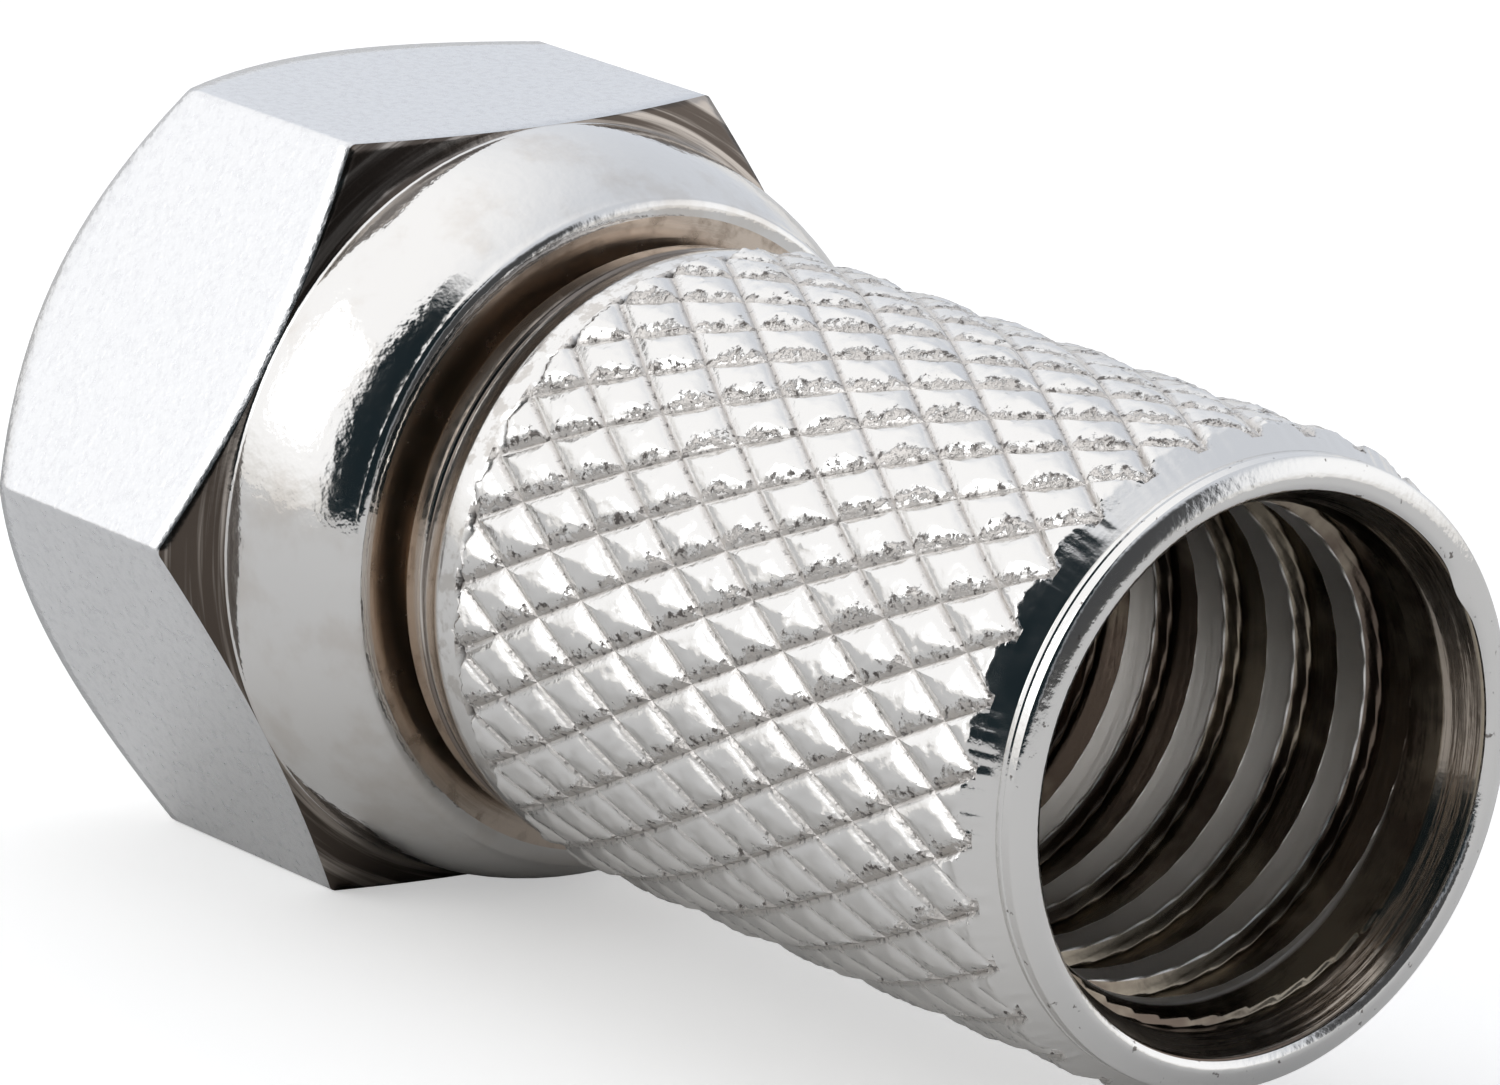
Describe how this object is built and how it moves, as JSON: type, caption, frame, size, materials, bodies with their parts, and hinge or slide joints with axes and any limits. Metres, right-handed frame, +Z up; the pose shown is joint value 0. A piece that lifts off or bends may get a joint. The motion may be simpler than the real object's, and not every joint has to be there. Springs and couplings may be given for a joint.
{
  "type": "f connector",
  "caption": "Twist-on F connector: a hexagonal coupling nut with an internal thread turns freely on the neck of a diamond-knurled sleeve that screws over coaxial cable.",
  "frame": {"origin": "on the surface that the connector lies on, under the middle of its overall length and under its axis", "axes": "+X along the connector's axis from the coupling nut towards the cable end, +Y level and square to the axis, +Z up, square to the nut's top and bottom flats"},
  "size_m": [0.022, 0.0128, 0.011],
  "materials": {
    "nut_plate": "nickel plate over turned brass, softly mottled on the flats and glossy on the domed shoulder",
    "sleeve_plate": "nickel plate over a rolled diamond knurl, with glossy turned rings beside it"
  },
  "bodies": {
    "sleeve": {"sleeve": "sleeve_plate"},
    "nut": {"coupling_nut": "nut_plate"}
  },
  "joints": [
    {"name": "nut_swivel", "type": "hinge", "parent": "sleeve", "child": "nut", "pos_m": [-0.00352, 0, 0.0055], "axis": [1, 0, 0], "continuous": true}
  ]
}
